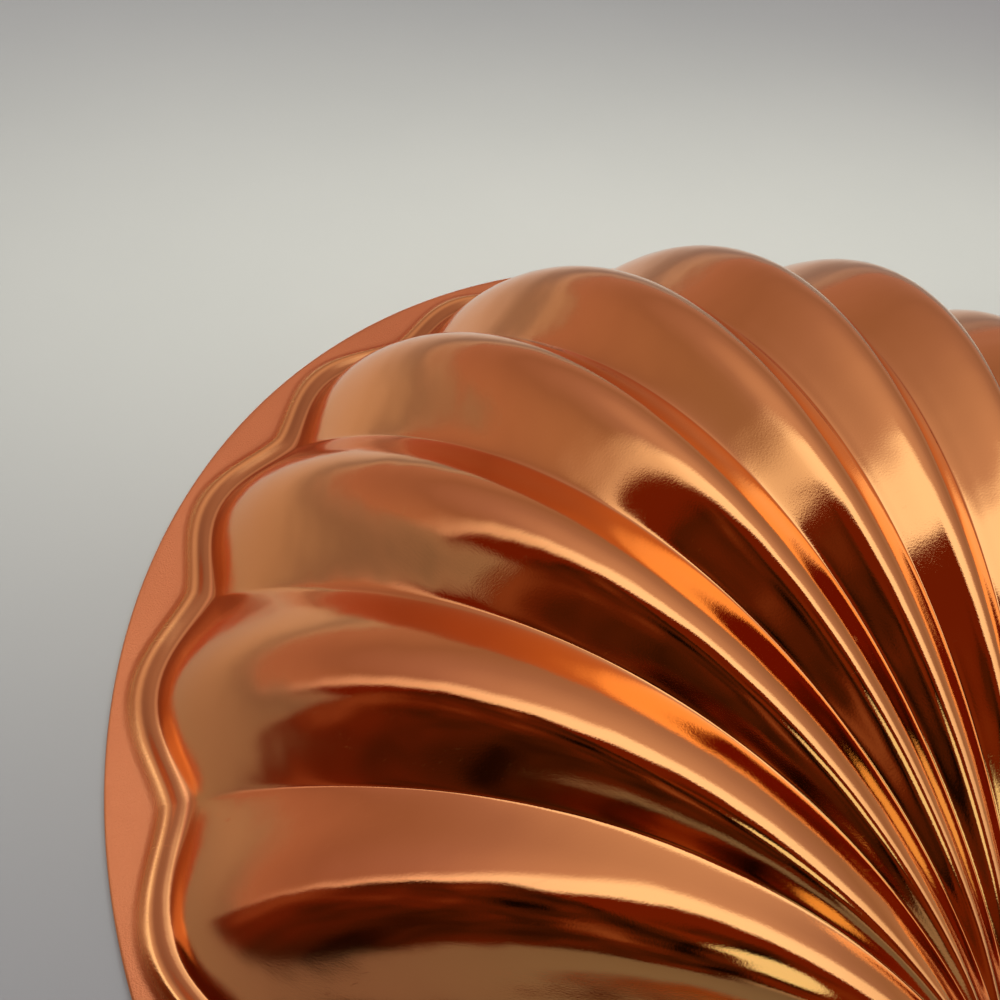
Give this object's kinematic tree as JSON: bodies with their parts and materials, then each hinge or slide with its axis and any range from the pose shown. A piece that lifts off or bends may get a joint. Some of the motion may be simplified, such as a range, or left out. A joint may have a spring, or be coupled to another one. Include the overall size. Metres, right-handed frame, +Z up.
{
  "type": "scallop shell jelly mould",
  "caption": "Pressed-metal jelly mould in the shape of a fluted scallop shell with a flat beaded rim, standing open side down, with a hanging ring on a riveted strap.",
  "frame": {"origin": "centre of the whole object's box, on the table plane that the rim stands on", "axes": "+Z up through the dome, +Y along the shell's middle lobe away from the hanging ring, +X to the right seen from the ring's side"},
  "size_m": [0.19, 0.207, 0.0503],
  "materials": {
    "copper_tone_sheet": "copper-tone anodised aluminium sheet, glossy on the dome and matt on the rim",
    "copper_tone_fittings": "copper-tone anodised aluminium strip and wire, satin"
  },
  "bodies": {
    "mould": {"mould_shell": "copper_tone_sheet", "hanger_strap": "copper_tone_fittings", "rivet_left": "copper_tone_fittings", "rivet_right": "copper_tone_fittings"},
    "ring": {"hanger_ring": "copper_tone_fittings"}
  },
  "joints": [
    {"name": "ring_swing", "type": "hinge", "parent": "mould", "child": "ring", "pos_m": [0, -0.08886, 0.003], "axis": [-1, 0, 0], "range_deg": [0, 165]}
  ]
}
